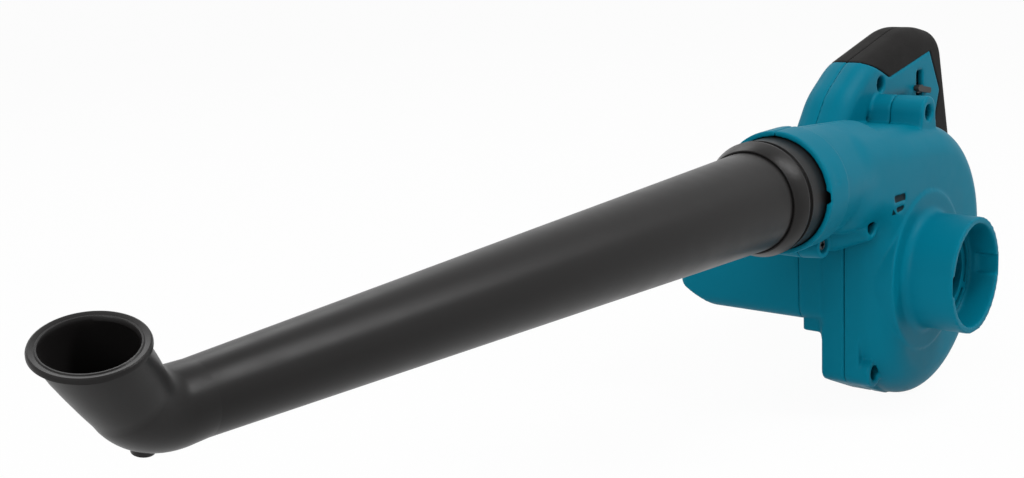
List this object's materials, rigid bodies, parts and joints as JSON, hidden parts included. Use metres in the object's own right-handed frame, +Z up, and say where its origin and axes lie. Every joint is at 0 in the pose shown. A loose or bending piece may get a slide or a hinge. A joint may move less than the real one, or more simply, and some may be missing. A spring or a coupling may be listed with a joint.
{
  "type": "leaf blower",
  "caption": "Hand-held cordless leaf blower: spiral fan case with a round side inlet, loop handle with trigger, motor housing with battery dock and a long tapered nozzle ending in an elbow.",
  "frame": {"origin": "centre of the round air inlet's mouth, on the fan axis", "axes": "-Y out of the inlet along the fan axis, -X along the nozzle away from the fan case, +Z up towards the handle"},
  "size_m": [0.7728, 0.187, 0.2316],
  "materials": {
    "body_plastic": "satin moulded plastic, petrol blue",
    "nozzle_plastic": "satin moulded plastic, black",
    "grip_rubber": "fine-textured moulded-on rubber, black",
    "inner_plastic": "moulded plastic, dark grey",
    "motor_metal": "zinc-plated pressed steel",
    "steel": "machined steel",
    "dark_steel": "blackened steel",
    "brass": "stamped brass",
    "copper": "turned copper bars",
    "magnet": "sintered ferrite",
    "carbon": "pressed carbon",
    "soft_rubber": "soft rubber"
  },
  "bodies": {
    "housing": {"fan_cover": "body_plastic", "housing_left": "body_plastic", "housing_right": "body_plastic", "grip_left": "grip_rubber", "grip_right": "grip_rubber", "inlet_guard": "body_plastic", "front_bell": "motor_metal", "front_bearing": "steel", "motor_can": "motor_metal", "magnets": "magnet", "brushes": "carbon", "rear_bell": "motor_metal", "rear_bearing": "steel", "motor_cushion": "soft_rubber", "motor_screws": "steel", "switch_unit": "inner_plastic", "trigger_pin": "steel", "terminal_block": "inner_plastic", "terminal_blades": "brass", "cover_screws": "dark_steel", "housing_screws": "dark_steel", "trigger_spring": "steel"},
    "fan_rotor": {"impeller": "inner_plastic", "fan_washer": "steel", "fan_nut": "steel", "motor_shaft": "steel", "rotor_core": "steel", "commutator": "copper"},
    "nozzle": {"nozzle_collar": "nozzle_plastic", "nozzle_tube": "nozzle_plastic", "nozzle_elbow": "nozzle_plastic"},
    "trigger_lever": {"trigger": "inner_plastic"},
    "speed_slider": {"speed_lever": "inner_plastic"}
  },
  "joints": [
    {"name": "fan_spin", "type": "hinge", "parent": "housing", "child": "fan_rotor", "pos_m": [0, 0.06, 0], "axis": [0, 1, 0], "continuous": true},
    {"name": "nozzle_twist", "type": "hinge", "parent": "housing", "child": "nozzle", "pos_m": [-0.128, 0.064, 0.072], "axis": [1, 0, 0], "range_deg": [0, 35]},
    {"name": "trigger_pull", "type": "hinge", "parent": "housing", "child": "trigger_lever", "pos_m": [0.064, 0.095, 0.107], "axis": [0, 1, 0], "range_deg": [0, 8], "stiffness_Nm_per_rad": 0.6, "springref_deg": -11.46, "deforming": ["trigger_spring"]},
    {"name": "speed_slide", "type": "slide", "parent": "housing", "child": "speed_slider", "axis": [0, 0, 1], "range_m": [0, 0.01]}
  ]
}
